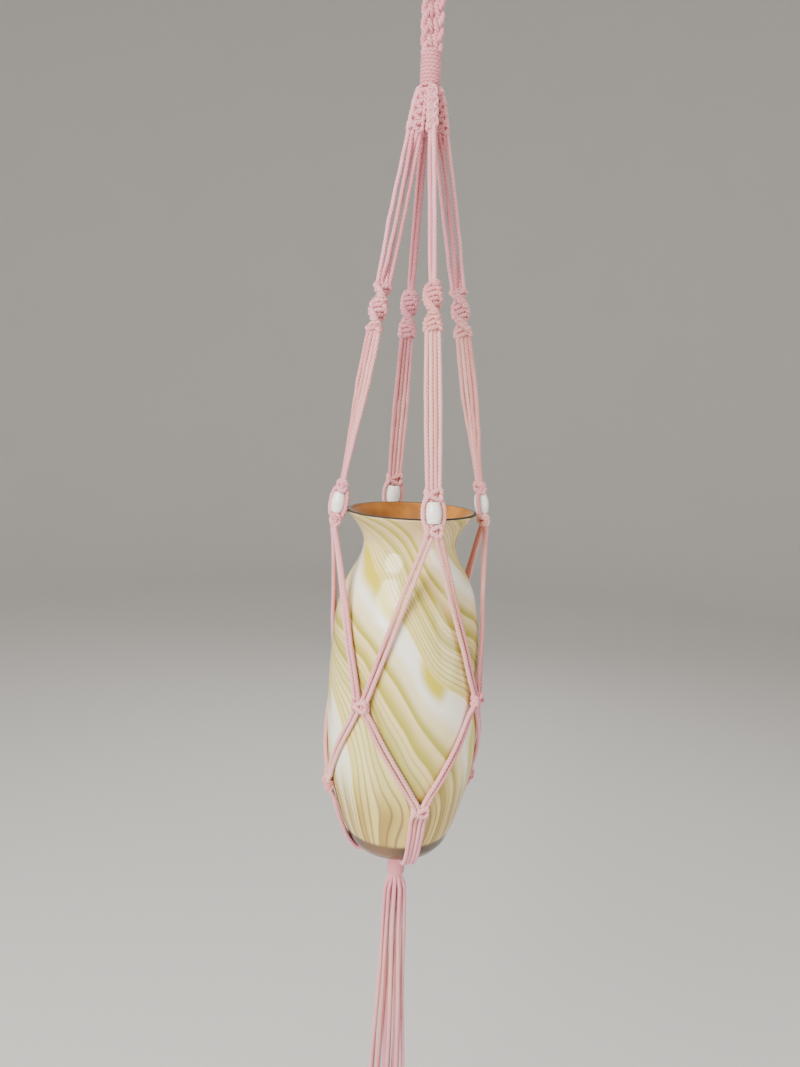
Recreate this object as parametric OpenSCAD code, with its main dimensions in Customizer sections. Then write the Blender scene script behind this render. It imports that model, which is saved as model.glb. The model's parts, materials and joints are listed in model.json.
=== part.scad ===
// Hanging macrame planter: a loop, four knotted and beaded arms, a net, a tassel and a glass vase.
// The origin is the point where the loop rests on its hook, and +Z is up.
// Arm 1 is at the front (-Y), arm 2 at the right (+X), arm 3 at the back and arm 4 at the left.

/* [Cord] */
// Thickness of each twisted cotton cord
cord_d = 3; // [2.4:0.1:3.4]

/* [Hanging loop] */
// From the hanging point down to the top wrapping
loop_length = 72; // [62:1:95]
// Width of the opening that goes over a hook
loop_opening = 17; // [14:0.5:21]
// Thickness of the braided loop
loop_d = 8; // [6.5:0.1:9.6]
// From the hanging point down to where the two legs come together
loop_fork = 46; // [38:1:56]
// Thickness of the wrapping under the loop
top_wrap_d = 13.2; // [11:0.1:16]
// Length of the wrapping under the loop
top_wrap_length = 24; // [16:1:30]

/* [Arms] */
// Height of the knotted braid at the top of each arm
crown_length = 26; // [22:1:34]
// Length of the plain cords above the spiral knot
upper_length = 94; // [70:1:130]
// Length of the spiral knot
spiral_length = 30.5; // [24:0.5:40]
// Thickness of the spiral knot at its two bulbs
spiral_d = 13.3; // [11:0.1:16]
// Length of the plain cords below the spiral knot
lower_length = 98; // [70:0.5:130]
// Thickness of each barrel bead
bead_d = 10; // [9.6:0.1:13]
// Length of each barrel bead
bead_length = 13.5; // [12:0.5:18]
// Thickness of the wall at the bead's flat ends
bead_end_wall = 0.9; // [0.6:0.1:1.2]

/* [Square knots] */
// Height of each square knot
knot_height = 8; // [6.6:0.2:10]
// Thickness of each square knot
knot_thickness = 6; // [5:0.1:7.2]

/* [Net] */
// From the vase's rim down to the row of knots between the arms
first_row_drop = 121; // [100:1:135]
// From the vase's rim down to the row of knots under the arms
second_row_drop = 192; // [170:1:200]

/* [Vase] */
// Height of the vase
vase_height = 240; // [220:1:288]
// Diameter of the lip
rim_d = 88.8; // [74:0.2:106]
// Diameter of the neck
neck_d = 63.2; // [54:0.2:72]
// Diameter of the belly
belly_d = 105.6; // [96:0.2:127]
// Diameter of the foot
foot_d = 58; // [48:0.5:70]
// Thickness of the glass
vase_wall = 3; // [2:0.1:4]
// Thickness of the glass under the foot
vase_floor = 6; // [4:0.5:10]
// How far the vase can be lifted in its sling
vase_lift = 12; // [8:1:14]

/* [Tassel] */
// Thickness of the wrapping under the vase
bottom_wrap_d = 12.4; // [11:0.1:15]
// Length of the wrapping under the vase
bottom_wrap_length = 21; // [18:1:36]
// Length of the tassel
tassel_length = 210; // [150:1:260]

/* [Clearances] */
// Gap between neighbouring cords that lie side by side
cord_gap = 0.2; // [0.1:0.05:0.4]
// Gap at each joint between two moving pieces
joint_gap = 0.6; // [0.4:0.05:0.9]
// Gap at each ball and its cup
ball_gap = 0.4; // [0.3:0.05:0.6]
// Gap between the top of an arm and the braid that it hangs from
arm_gap = 1.3; // [1.2:0.05:1.8]
// Gap between a bead and the cords through it and round it
bead_gap = 0.35; // [0.3:0.05:0.5]
// Gap between the vase and the cords that carry it
vase_gap = 0.5; // [0.4:0.05:0.8]
// Gap between the lip of the vase and the beads
rim_gap = 0.9; // [0.7:0.1:2]
// Gap between the flat ends of two fixed pieces that meet
seam = 0.05; // [0.02:0.01:0.1]

/* [Hidden] */
$fn = 48;

cord_colour = [0.86, 0.64, 0.62];
bead_colour = [0.95, 0.93, 0.88];
vase_colour = [0.93, 0.90, 0.78];

cord_r = cord_d / 2;
cord_pitch = cord_d + cord_gap;

// Hanging loop. Its crown is an arc that ends where the straight legs leave it as tangents.
crown_arc_r = (loop_opening + loop_d) / 2;
crown_arc_z = -loop_opening / 2;
leg_half_gap = 0.2;
fork_x = loop_d / 2 + leg_half_gap;
fork_from_arc = [fork_x, -loop_fork - crown_arc_z];
arc_below = acos(crown_arc_r / norm(fork_from_arc)) + atan2(fork_from_arc[1], fork_from_arc[0]);
leg_top = [crown_arc_r * cos(arc_below), crown_arc_z + crown_arc_r * sin(arc_below)];
leg_bottom_x = (top_wrap_d - loop_d) / 2;
crown_ball_d = loop_d + 0.3;

// Top wrapping, whose round lower end sits in a cup at the top of the four braids.
top_wrap_z = -loop_length;
crown_z = top_wrap_z - top_wrap_length;
swing_side_z = crown_z + 0.6 * top_wrap_d / 2;

// Arms. An arm hangs from its braid at root_r, root_z, and the bead sets how far it leans out.
sennit_thickness = 5;
sennit_knots = 3;
sennit_width_top = 6.6;
sennit_width_bottom = 10;
sennit_r = 5.9;
root_r = 8.8;
root_z = crown_z - crown_length;
sennit_tilt = atan((root_r - sennit_r) / crown_length);
bead_r = bead_d / 2;
spiral_at = arm_gap + upper_length;
lower_at = spiral_at + spiral_length;
upper_knot_at = lower_at + lower_length;
bead_at = upper_knot_at + knot_height + joint_gap + bead_length / 2;
lower_knot_at = bead_at + bead_length / 2 + joint_gap;
arm_length = lower_knot_at + knot_height;
bead_centre_r = rim_d / 2 + rim_gap + bead_r;
arm_tilt = asin((bead_centre_r - root_r) / bead_at);
strand_pitch = 0.867 * cord_d;
strand_stagger = 0.267 * cord_d;
waist_share = 0.64;
bead_bore_d = 2 * cord_d + 3 * bead_gap;
bead_end_r = bead_bore_d / 2 + bead_end_wall;

// Square knots. The width holds four cords side by side and the bumps at both edges.
knot_width = 4 * cord_pitch + 0.6;

// Vase. Each list gives a share of the height and a share of the way between two diameters.
rim_below_bead = 6;
rim_z = root_z - bead_at * cos(arm_tilt) - rim_below_bead;
foot_z = rim_z - vase_height;
lip_shape = [[0, 1], [0.025, 0.57], [0.054, 0.19], [0.078, 0.015]];
shoulder_shape = [
    [0.092, 0], [0.121, 0.066], [0.146, 0.19], [0.167, 0.335], [0.217, 0.61],
    [0.262, 0.75], [0.308, 0.85], [0.454, 0.976], [0.56, 1]
];
base_shape = [
    [0.62, 1], [0.738, 0.92], [0.8, 0.81], [0.85, 0.68], [0.904, 0.52],
    [0.954, 0.32], [0.979, 0.2], [1, 0]
];
vase_steps = 60;
stations = concat(
    [for (s = lip_shape) [s[0], mix(neck_d, rim_d, s[1]) / 2]],
    [for (s = shoulder_shape) [s[0], mix(neck_d, belly_d, s[1]) / 2]],
    [for (s = base_shape) [s[0], mix(foot_d, belly_d, s[1]) / 2]]
);

// Net and sling
first_row_z = rim_z - first_row_drop;
second_row_z = rim_z - second_row_drop;
first_row_r = clear_r(first_row_z) + knot_thickness / 2;
second_row_lean = atan(vase_slope(second_row_z));
second_row_r = vase_r(second_row_z) + (vase_gap + knot_thickness / 2) / cos(second_row_lean);
sling_z = foot_z - vase_gap - cord_r;
gather_half = 2 * cord_pitch;
gather_top = sling_z + cord_r;
gather_height = 5.6;
cup_floor = 2;

// Bottom wrapping and tassel
bottom_wrap_r = bottom_wrap_d / 2;
sway_front_z = gather_top - cup_floor - ball_gap - bottom_wrap_r;
bottom_wrap_z = gather_top - gather_height - bottom_wrap_length;
sway_side_z = bottom_wrap_z + bottom_wrap_r;
tassel_z = bottom_wrap_z - joint_gap;
tassel_rings = [[1, 0], [5, 1.05], [10, 2.1]];
// How far below the wrapping a strand is, as a share of its length, and how far it has spread
strand_route = [[0, 0], [0.1, 1], [0.3, 2.5], [0.6, 4.5], [1, 7.5]];

ring_sides = 8;
upper_net_rings = 11;
lower_net_rings = 9;
// How much further apart two cords of the net run between knots than at them
net_spread = 0.6 * cord_d;

// The value a share of the way from a to b
function mix(a, b, share) = a + (b - a) * share;

// A vector of length 1
function unit(v) = v / norm(v);

// A point turned about the Z axis
function turned(p, angle) = [
    p[0] * cos(angle) - p[1] * sin(angle),
    p[0] * sin(angle) + p[1] * cos(angle),
    p[2]
];

// The station at or above a share of the vase's height
function station_at(share, i = 0) =
    i >= len(stations) - 2 || stations[i + 1][0] > share ? i : station_at(share, i + 1);

// How fast the radius changes at station i
function station_slope(i) =
    let (a = max(i - 1, 0), b = min(i + 1, len(stations) - 1))
    (stations[b][1] - stations[a][1]) / (stations[b][0] - stations[a][0]);

// Radius of the vase at a share of its height, as a smooth curve through the stations
function shape_r(share) =
    let (
        i = station_at(share),
        width = stations[i + 1][0] - stations[i][0],
        u = (share - stations[i][0]) / width,
        start = stations[i][1],
        end = stations[i + 1][1],
        start_slope = station_slope(i) * width,
        end_slope = station_slope(i + 1) * width
    )
    start * (1 + 2 * u) * (1 - u) * (1 - u) + start_slope * u * (1 - u) * (1 - u)
        + end * u * u * (3 - 2 * u) - end_slope * u * u * (1 - u);

// Radius of the vase at a height
function vase_r(z) = shape_r(min(1, max(0, (rim_z - z) / vase_height)));

// How fast the vase widens with height
function vase_slope(z) = vase_r(z + 0.5) - vase_r(z - 0.5);

// The smallest radius that the vase never reaches at a height, wherever it is lifted to
function clear_r(z) = max([for (lift = [0:2:vase_lift]) vase_r(z - lift)]) + vase_gap;

// A point moved out to where a cord clears the vase
function pushed_out(p) =
    let (r = norm([p[0], p[1]]), need = max(r, clear_r(p[2]) + cord_r))
    [p[0] * need / r, p[1] * need / r, p[2]];

// A taut cord from a to b over the vase, swung aside in the middle of its run
function net_path(a, b, rings, aside) =
    [for (i = [0:rings - 1])
        let (share = i / (rings - 1))
        i == 0 ? a : i == rings - 1 ? b
            : turned(pushed_out(mix(a, b, share)), aside * sin(180 * share) / belly_d * 360 / PI)];

// A point in an arm's own frame, at a distance down it and to one side, for the arm at the front
function arm_point(down, side) = [side, -root_r - down * sin(arm_tilt), root_z - down * cos(arm_tilt)];

// A point on the end of a knot in the first row, above (1) or below (-1) it
function first_row_point(side, end) = [side, -first_row_r, first_row_z + end * (knot_height / 2 + seam)];

// A point on the end of a knot in the second row, above (1) or below (-1) it
function second_row_point(side, end) =
    let (half = end * (knot_height / 2 + seam))
    [side, -second_row_r - half * sin(second_row_lean), second_row_z + half * cos(second_row_lean)];

// A point beside the vase's outline, at a cord's radius and gap from it, at a height
function beside_vase(z) =
    let (lean = atan(vase_slope(z)), away = vase_gap + cord_r)
    [vase_r(z) + away * cos(lean), z - away * sin(lean)];

// The route of one sling cord, from its knot down and under the foot
function sling_path(side) =
    let (
        start = second_row_point(side, -1),
        foot_r = foot_d / 2,
        away = vase_gap + cord_r,
        outline = [for (share = [0.12:0.16:0.92]) beside_vase(mix(start[2], foot_z, share))]
    )
    concat(
        [start],
        [for (p = outline) [side, -p[0], p[1]]],
        [
            [side, -foot_r - away * 0.9, foot_z - away * 0.4],
            [side, -foot_r - away * 0.2, foot_z - away],
            [side, -foot_r * 0.6, sling_z],
            [side, -gather_half - seam, sling_z]
        ]
    );

// Directions along a path, with the first and the last given
function directions(path, first, last) =
    [for (i = [0:len(path) - 1])
        i == 0 ? first : i == len(path) - 1 ? last : unit(path[i + 1] - path[i - 1])];

// One ring of a cord's surface round a point
function ring(centre, along, across) =
    let (u = unit(across - along * (across * along)), v = cross(along, u))
    [for (k = [0:ring_sides - 1])
        let (angle = 360 * (k + 0.5) / ring_sides)
        centre + cord_r * (cos(angle) * u + sin(angle) * v)];

// A cord swept along a path
module cord(path, first, last, across = [1, 0, 0]) {
    along = directions(path, first, last);
    count = len(path);
    points = [for (i = [0:count - 1]) each ring(path[i], along[i], across)];
    sides = [for (i = [0:count - 2], k = [0:ring_sides - 1])
        let (a = i * ring_sides + k, b = i * ring_sides + (k + 1) % ring_sides)
        each [[a, b, b + ring_sides], [a, b + ring_sides, a + ring_sides]]];
    top = [for (k = [ring_sides - 1:-1:0]) k];
    bottom = [for (k = [0:ring_sides - 1]) (count - 1) * ring_sides + k];
    polyhedron(points, concat([top], sides, [bottom]));
}

// A straight round bar between two points in the XZ plane
module bar(a, b, d) {
    run = b - a;
    translate([a[0], 0, a[1]])
        rotate([0, atan2(run[0], run[1]), 0])
            cylinder(h = norm(run), d = d);
}

// Children moved to the top of arm n, with -Z down along the arm and -Y outwards
module on_arm(n) {
    rotate([0, 0, 90 * (n - 1)])
        translate([0, -root_r, root_z])
            rotate([-arm_tilt, 0, 0])
                children();
}

// The four plain cords of an arm, side by side along X
module four_cords(length) {
    for (k = [0:3])
        translate([(k - 1.5) * strand_pitch, (k % 2 - 0.5) * 2 * strand_stagger, -length])
            cylinder(h = length, d = cord_d);
}

// A square knot, centred: a core, two bars across each face and two bumps at each edge
module square_knot(width, height, thickness) {
    bar_d = 0.46 * height;
    cube([0.66 * width, 0.7 * thickness, height], center = true);
    for (face = [-1, 1], level = [-1, 1])
        translate([0, face * (thickness - bar_d) / 2, level * height / 4])
            rotate([0, 90, 0])
                cylinder(h = 0.8 * width, d = bar_d, center = true);
    for (edge = [-1, 1], level = [-1, 1])
        translate([edge * (width / 2 - 0.22 * height), 0, level * 0.26 * height])
            rotate([90, 0, 0])
                cylinder(h = 0.62 * thickness, d = 0.44 * height, center = true);
}

// Top of the loop, with a round end on each side
module loop_crown() {
    color(cord_colour) {
        translate([0, 0, crown_arc_z])
            rotate([90, 0, 0])
                rotate([0, 0, arc_below])
                    rotate_extrude(angle = 180 - 2 * arc_below)
                        translate([crown_arc_r, 0])
                            circle(d = loop_d);
        for (side = [-1, 1])
            translate([side * leg_top[0], 0, leg_top[1]])
                sphere(d = crown_ball_d);
    }
}

// Both legs of the loop, cupped at the top round the crown's ends
module loop_legs() {
    color(cord_colour)
        difference() {
            for (side = [-1, 1]) {
                bar([side * leg_top[0], leg_top[1]], [side * fork_x, -loop_fork], loop_d);
                translate([side * fork_x, 0, -loop_fork])
                    sphere(d = loop_d);
                translate([side * fork_x, 0, -loop_fork])
                    leg_end(side);
            }
            for (side = [-1, 1])
                translate([side * leg_top[0], 0, leg_top[1]])
                    sphere(d = crown_ball_d + 2 * ball_gap);
        }
}

// The lower part of one leg, from the fork to the wrapping, cut level at its end
module leg_end(side) {
    drop = loop_length - joint_gap - loop_fork;
    intersection() {
        bar([0, 0], [side * (leg_bottom_x - fork_x) * 1.2, -drop * 1.2], loop_d);
        translate([-2 * loop_d, -loop_d, -drop])
            cube([4 * loop_d, 2 * loop_d, drop + loop_d]);
    }
}

// Wrapping under the loop, with a ball end below
module top_wrap() {
    color(cord_colour) {
        translate([0, 0, swing_side_z])
            cylinder(h = top_wrap_z - swing_side_z, d = top_wrap_d);
        translate([0, 0, swing_side_z])
            sphere(d = top_wrap_d);
    }
}

// Knotted braid at the top of an arm, edge outwards, cut away round the ball
module crown_sennit(n) {
    knot = crown_length / sennit_knots;
    color(cord_colour)
        rotate([0, 0, 90 * (n - 1)])
            difference() {
                translate([0, -sennit_r, crown_z])
                    rotate([-sennit_tilt, 0, 0])
                        rotate([0, 0, 90])
                            for (k = [0:sennit_knots - 1])
                                translate([0, 0, -knot * (k + 0.5)])
                                    square_knot(
                                        mix(sennit_width_top, sennit_width_bottom, k / (sennit_knots - 1)),
                                        knot, sennit_thickness
                                    );
                translate([0, 0, swing_side_z])
                    sphere(d = top_wrap_d + 2 * ball_gap);
            }
}

// Plain cords above the spiral, side by side on a line from the middle of the planter
module upper_cords(n) {
    color(cord_colour)
        on_arm(n)
            translate([0, 0, -arm_gap])
                rotate([0, 0, 90])
                    four_cords(upper_length - seam);
}

// Spiral knot of two bulbs
module spiral_knot(n) {
    steps = 24;
    outline = [for (i = [0:steps])
        let (swell = pow(abs(sin(360 * i / steps)), 0.7))
        [spiral_d / 2 * mix(waist_share, 1, swell), -spiral_length * i / steps]];
    color(cord_colour)
        on_arm(n)
            translate([0, 0, -spiral_at])
                rotate_extrude()
                    polygon(concat([[0, 0]], outline, [[0, -spiral_length]]));
}

// Plain cords below the spiral, turned to lie round the planter
module lower_cords(n) {
    color(cord_colour)
        on_arm(n)
            translate([0, 0, -lower_at - seam])
                four_cords(lower_length - 2 * seam);
}

// Square knot above the bead
module bead_knot_upper(n) {
    color(cord_colour)
        on_arm(n)
            translate([0, 0, -upper_knot_at - knot_height / 2])
                square_knot(knot_width, knot_height, knot_thickness);
}

// The two cords through a bead and the two that pass round it
module bead_cords(n) {
    span = bead_length + 2 * joint_gap - 2 * seam;
    bulge_x = bead_r + bead_gap + cord_r;
    edge_x = bead_end_r + bead_gap + cord_r + 0.1;
    bulge = bulge_x - edge_x;
    bow_r = (pow(span / 2, 2) + pow(bulge, 2)) / (2 * bulge);
    color(cord_colour)
        on_arm(n)
            translate([0, 0, -bead_at]) {
                for (side = [-1, 1])
                    translate([side * (cord_d + 0.1) / 2, 0, 0])
                        cylinder(h = span, d = cord_d, center = true);
                intersection() {
                    cube([8 * cord_d + 2 * bead_d, 4 * cord_d, span], center = true);
                    for (side = [0, 1])
                        rotate([0, 0, 180 * side])
                            translate([bulge_x - bow_r, 0, 0])
                                rotate([90, 0, 0])
                                    rotate([0, 0, -asin(span / 2 / bow_r) - 2])
                                        rotate_extrude(angle = 2 * asin(span / 2 / bow_r) + 4)
                                            translate([bow_r, 0])
                                                circle(d = cord_d);
                }
            }
}

// Barrel bead with a through bore
module bead(n) {
    steps = 10;
    outline = [for (i = [0:steps])
        let (u = 2 * i / steps - 1)
        [mix(bead_r, bead_end_r, u * u), u * bead_length / 2]];
    color(bead_colour)
        on_arm(n)
            translate([0, 0, -bead_at])
                rotate_extrude()
                    polygon(concat(
                        [[bead_bore_d / 2, -bead_length / 2]], outline, [[bead_bore_d / 2, bead_length / 2]]
                    ));
}

// Square knot below the bead
module bead_knot_lower(n) {
    color(cord_colour)
        on_arm(n)
            translate([0, 0, -lower_knot_at - knot_height / 2])
                square_knot(knot_width, knot_height, knot_thickness);
}

// Four cords from under a bead, two to each neighbouring knot of the first row
module net_cords_upper(n) {
    arm_down = [0, -sin(arm_tilt), -cos(arm_tilt)];
    color(cord_colour)
        rotate([0, 0, 90 * (n - 1)])
            for (side = [-1, 1], lane = [0.5, 1.5])
                cord(
                    net_path(
                        arm_point(arm_length + joint_gap, side * lane * cord_pitch),
                        turned(first_row_point(-side * (2 - lane) * cord_pitch, 1), side * 45),
                        upper_net_rings, side * (lane - 1) * net_spread
                    ),
                    arm_down, [0, 0, -1]
                );
}

// Square knot between arms n and n + 1
module net_knot(n) {
    color(cord_colour)
        rotate([0, 0, 90 * (n - 1) + 45])
            translate([0, -first_row_r, first_row_z])
                square_knot(knot_width, knot_height, knot_thickness);
}

// Four cords from a knot of the first row, two to each neighbouring knot of the second row
module net_cords_lower(n) {
    color(cord_colour)
        rotate([0, 0, 90 * (n - 1) + 45])
            for (side = [-1, 1], lane = [0.5, 1.5])
                cord(
                    net_path(
                        first_row_point(side * lane * cord_pitch, -1),
                        turned(second_row_point(-side * (2 - lane) * cord_pitch, 1), side * 45),
                        lower_net_rings, side * (lane - 1) * net_spread
                    ),
                    [0, 0, -1],
                    turned([0, sin(second_row_lean), -cos(second_row_lean)], side * 45)
                );
}

// Square knot under arm n
module sling_knot(n) {
    color(cord_colour)
        rotate([0, 0, 90 * (n - 1)])
            translate([0, -second_row_r, second_row_z])
                rotate([second_row_lean, 0, 0])
                    square_knot(knot_width, knot_height, knot_thickness);
}

// Four cords from a knot of the second row, down the vase and under its foot
module sling_cords(n) {
    knot_down = [0, sin(second_row_lean), -cos(second_row_lean)];
    color(cord_colour)
        rotate([0, 0, 90 * (n - 1)])
            for (lane = [-1.5:1:1.5])
                cord(sling_path(lane * cord_pitch), knot_down, [0, 1, 0]);
}

// Where the sixteen cords come together under the foot, cupped round the wrapping's end
module sling_gather() {
    color(cord_colour)
        difference() {
            translate([-gather_half, -gather_half, gather_top - gather_height])
                cube([2 * gather_half, 2 * gather_half, gather_height]);
            translate([0, 0, sway_front_z])
                sphere(d = bottom_wrap_d + 2 * ball_gap);
        }
}

// Wrapping under the vase, with a ball at both ends
module bottom_wrap() {
    color(cord_colour) {
        translate([0, 0, sway_side_z])
            cylinder(h = sway_front_z - sway_side_z, d = bottom_wrap_d);
        for (z = [sway_side_z, sway_front_z])
            translate([0, 0, z])
                sphere(d = bottom_wrap_d);
    }
}

// The route of one tassel strand that starts at radius r
function strand_path(r) =
    [for (p = strand_route) [0, -r - p[1] * r / (tassel_rings[2][1] * cord_d), tassel_z - p[0] * tassel_length]];

// Sixteen loose strands in rings of one, five and ten
module tassel_strands() {
    color(cord_colour)
        for (level = tassel_rings, k = [1:level[0]])
            rotate([0, 0, 360 * (k - 0.5) / level[0]])
                cord(strand_path(level[1] * cord_d), [0, 0, -1], [0, 0, -1]);
}

// Thickness of the glass measured level, at a height
function level_wall(z) = vase_wall * sqrt(1 + pow(vase_slope(z), 2));

// Glass vase
module vase() {
    heights = [for (i = [0:vase_steps]) rim_z - vase_height * i / vase_steps];
    floor_z = foot_z + vase_floor;
    inside = [for (z = heights) if (z > floor_z) [vase_r(z) - level_wall(z), z]];
    outside = [for (i = [vase_steps:-1:0]) [vase_r(heights[i]), heights[i]]];
    color(vase_colour)
        rotate_extrude()
            polygon(concat(
                inside, [[vase_r(floor_z) - level_wall(floor_z), floor_z], [0, floor_z], [0, foot_z]], outside
            ));
}

loop_crown();
loop_legs();
top_wrap();
for (n = [1:4]) crown_sennit(n);
for (n = [1:4]) upper_cords(n);
for (n = [1:4]) spiral_knot(n);
for (n = [1:4]) lower_cords(n);
for (n = [1:4]) bead_knot_upper(n);
for (n = [1:4]) bead_cords(n);
for (n = [1:4]) bead(n);
for (n = [1:4]) bead_knot_lower(n);
for (n = [1:4]) net_cords_upper(n);
for (n = [1:4]) net_knot(n);
for (n = [1:4]) net_cords_lower(n);
for (n = [1:4]) sling_knot(n);
for (n = [1:4]) sling_cords(n);
sling_gather();
bottom_wrap();
tassel_strands();
vase();
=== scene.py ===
"""Hanging macrame planter: its cords, knots, beads and glass vase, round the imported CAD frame."""
import json
import math

import bpy
import numpy as np
from mathutils import Matrix, Vector


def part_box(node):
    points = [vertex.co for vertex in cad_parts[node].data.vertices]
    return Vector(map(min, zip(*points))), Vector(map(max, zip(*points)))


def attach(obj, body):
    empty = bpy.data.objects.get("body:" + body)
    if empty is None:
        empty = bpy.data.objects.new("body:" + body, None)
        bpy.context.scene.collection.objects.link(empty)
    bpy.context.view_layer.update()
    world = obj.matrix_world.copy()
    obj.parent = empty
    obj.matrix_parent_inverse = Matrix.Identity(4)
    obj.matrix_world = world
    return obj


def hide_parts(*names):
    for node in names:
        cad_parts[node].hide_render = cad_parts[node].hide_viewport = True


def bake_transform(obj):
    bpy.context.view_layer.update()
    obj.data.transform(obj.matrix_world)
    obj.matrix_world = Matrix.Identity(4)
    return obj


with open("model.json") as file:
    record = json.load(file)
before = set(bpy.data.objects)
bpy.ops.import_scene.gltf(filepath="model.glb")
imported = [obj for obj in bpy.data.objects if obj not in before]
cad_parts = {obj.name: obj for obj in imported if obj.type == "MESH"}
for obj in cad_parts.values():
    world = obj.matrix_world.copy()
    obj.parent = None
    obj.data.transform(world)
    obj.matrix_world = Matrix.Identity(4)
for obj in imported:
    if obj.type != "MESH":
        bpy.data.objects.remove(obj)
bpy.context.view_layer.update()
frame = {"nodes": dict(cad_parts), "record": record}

MM = 0.001
RNG = np.random.default_rng(16)
ARMS = (1, 2, 3, 4)

# ---------------------------------------------------------------- places, all from the frame


def box(node):
    """Lowest and highest corner of a CAD node, as arrays."""
    low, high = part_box(node)
    return np.array(low), np.array(high)


def top(node):
    return box(node)[1][2]


def bottom(node):
    return box(node)[0][2]


def middle(node):
    low, high = box(node)
    return (low + high) / 2


def joint_at(name):
    """Anchor of a joint."""
    rows = frame["record"]["behaviour"]["joints"]
    row = next(j for j in rows if j["name"] == name)
    return np.array(row["pos_m"])


def turn_z(degrees):
    return np.array(Matrix.Rotation(math.radians(degrees), 4, "Z"))


def station(azimuth, radius, height, lean=0.0):
    """A frame on the planter: -Y looks outwards, -Z down, leaned about X, at an azimuth."""
    move = np.array(Matrix.Translation((0, -radius, height)))
    tilt = np.array(Matrix.Rotation(lean, 4, "X"))
    return turn_z(azimuth) @ move @ tilt


def moved(points, matrix):
    points = np.asarray(points, float)
    return points @ matrix[:3, :3].T + matrix[:3, 3]


# The front arm hangs from its root in a plane through the planter's axis, out to its bead.
ROOT = joint_at("arm_spread_1")
ROOT_R = abs(ROOT[1])
ROOT_Z = ROOT[2]
BEAD_CENTRE = middle("bead_1")
ARM_TILT = math.atan2(ROOT[1] - BEAD_CENTRE[1], ROOT_Z - BEAD_CENTRE[2])
ARM_DOWN = np.array([0, -math.sin(ARM_TILT), -math.cos(ARM_TILT)])


def arm_frame(n):
    """Arm n's own frame: -Z down the arm, -Y outwards, X round the planter."""
    return station(90 * (n - 1), ROOT_R, ROOT_Z, -ARM_TILT)


def reach_down(node):
    """Where a piece of the front arm starts and ends, as distances down the arm."""
    low, high = box(node)
    size = high - low
    c, s = math.cos(ARM_TILT), math.sin(ARM_TILT)
    length = (size[2] * c - size[1] * s) / (c * c - s * s)
    centre = float(((low + high) / 2 - ROOT) @ ARM_DOWN)
    return centre - length / 2, centre + length / 2


UPPER = reach_down("upper_cords_1")
SPIRAL = reach_down("spiral_knot_1")
LOWER = reach_down("lower_cords_1")
BEAD_KNOT_UPPER = reach_down("bead_knot_upper_1")
BEAD = reach_down("bead_1")
BEAD_KNOT_LOWER = reach_down("bead_knot_lower_1")
BEAD_R = (box("bead_1")[1][0] - box("bead_1")[0][0]) / 2

# Cords and their places side by side
CORD_R = 1.5 * MM
KNOT_CORD_R = 1.55 * MM
PITCH = 3.2 * MM
PAIR_X = 1.35 * MM
OUTER_X = 3.9 * MM
KNOT_REACH = 4.9 * MM
KNOT_DEPTH = 1.95 * MM

# ---------------------------------------------------------------- the vase's outline


def vase_outline():
    """Heights and outer and inner radii of the CAD vase, from its own mesh."""
    mesh = frame["nodes"]["vase"].data
    points = np.empty(len(mesh.vertices) * 3)
    mesh.vertices.foreach_get("co", points)
    points = points.reshape(-1, 3)
    radius = np.hypot(points[:, 0], points[:, 1])
    levels = np.unique(np.round(points[:, 2], 5))
    at_level = [radius[np.abs(points[:, 2] - z) < 2e-5] for z in levels]
    outer = np.array([r.max() for r in at_level])
    inner = np.array([r.min() for r in at_level])
    both_sides = outer - inner > MM
    both_sides[0] = True
    return levels[both_sides], outer[both_sides], inner[both_sides]


VASE_Z, VASE_OUTER, VASE_INNER = vase_outline()
RIM_Z = VASE_Z[-1]
FOOT_Z = VASE_Z[0]
FOOT_R = VASE_OUTER[0]
VASE_GAP = 0.5 * MM
VASE_LIFT = 12 * MM


def vase_r(z):
    return np.interp(z, VASE_Z, VASE_OUTER)


def vase_slope(z):
    return (vase_r(z + 0.5 * MM) - vase_r(z - 0.5 * MM)) / MM


def clear_r(z):
    """Radius that the vase never reaches at a height, however far it is lifted."""
    lifts = np.arange(0, VASE_LIFT + MM, 2 * MM)
    return max(vase_r(z - lift) for lift in lifts) + VASE_GAP


# ---------------------------------------------------------------- camera

CAMERA_AWAY = 0.562
CAMERA_AZIMUTH = 16.0
CAMERA_HEIGHT = -0.287
CAMERA_PITCH = 9.3
CAMERA_YAW = 0.72
CAMERA_ROLL = 2.4
LENS = 28.14


def make_camera():
    data = bpy.data.cameras.new("camera")
    data.lens = LENS
    data.sensor_width = 36
    data.clip_start = 0.01
    camera = bpy.data.objects.new("camera", data)
    side = math.radians(CAMERA_AZIMUTH)
    camera.location = (-math.sin(side) * CAMERA_AWAY, -math.cos(side) * CAMERA_AWAY, CAMERA_HEIGHT)
    yaw = Matrix.Rotation(math.radians(CAMERA_YAW - CAMERA_AZIMUTH), 3, "Z")
    pitch = Matrix.Rotation(math.radians(90 - CAMERA_PITCH), 3, "X")
    roll = Matrix.Rotation(math.radians(CAMERA_ROLL), 3, "Z")
    camera.rotation_euler = (yaw @ pitch @ roll).to_euler()
    bpy.context.scene.collection.objects.link(camera)
    bpy.context.scene.camera = camera


# ---------------------------------------------------------------- materials


def new_material(name):
    material = bpy.data.materials.new(name)
    material.use_nodes = True
    tree = material.node_tree
    shader = tree.nodes["Principled BSDF"]
    return material, tree, shader


def node(tree, kind, inputs=None, **settings):
    """A node with its settings, and inputs that are values or other nodes' sockets."""
    made = tree.nodes.new(kind)
    for key, value in settings.items():
        setattr(made, key, value)
    for key, value in (inputs or {}).items():
        if isinstance(value, bpy.types.NodeSocket):
            tree.links.new(value, made.inputs[key])
        else:
            made.inputs[key].default_value = value
    return made


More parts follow.
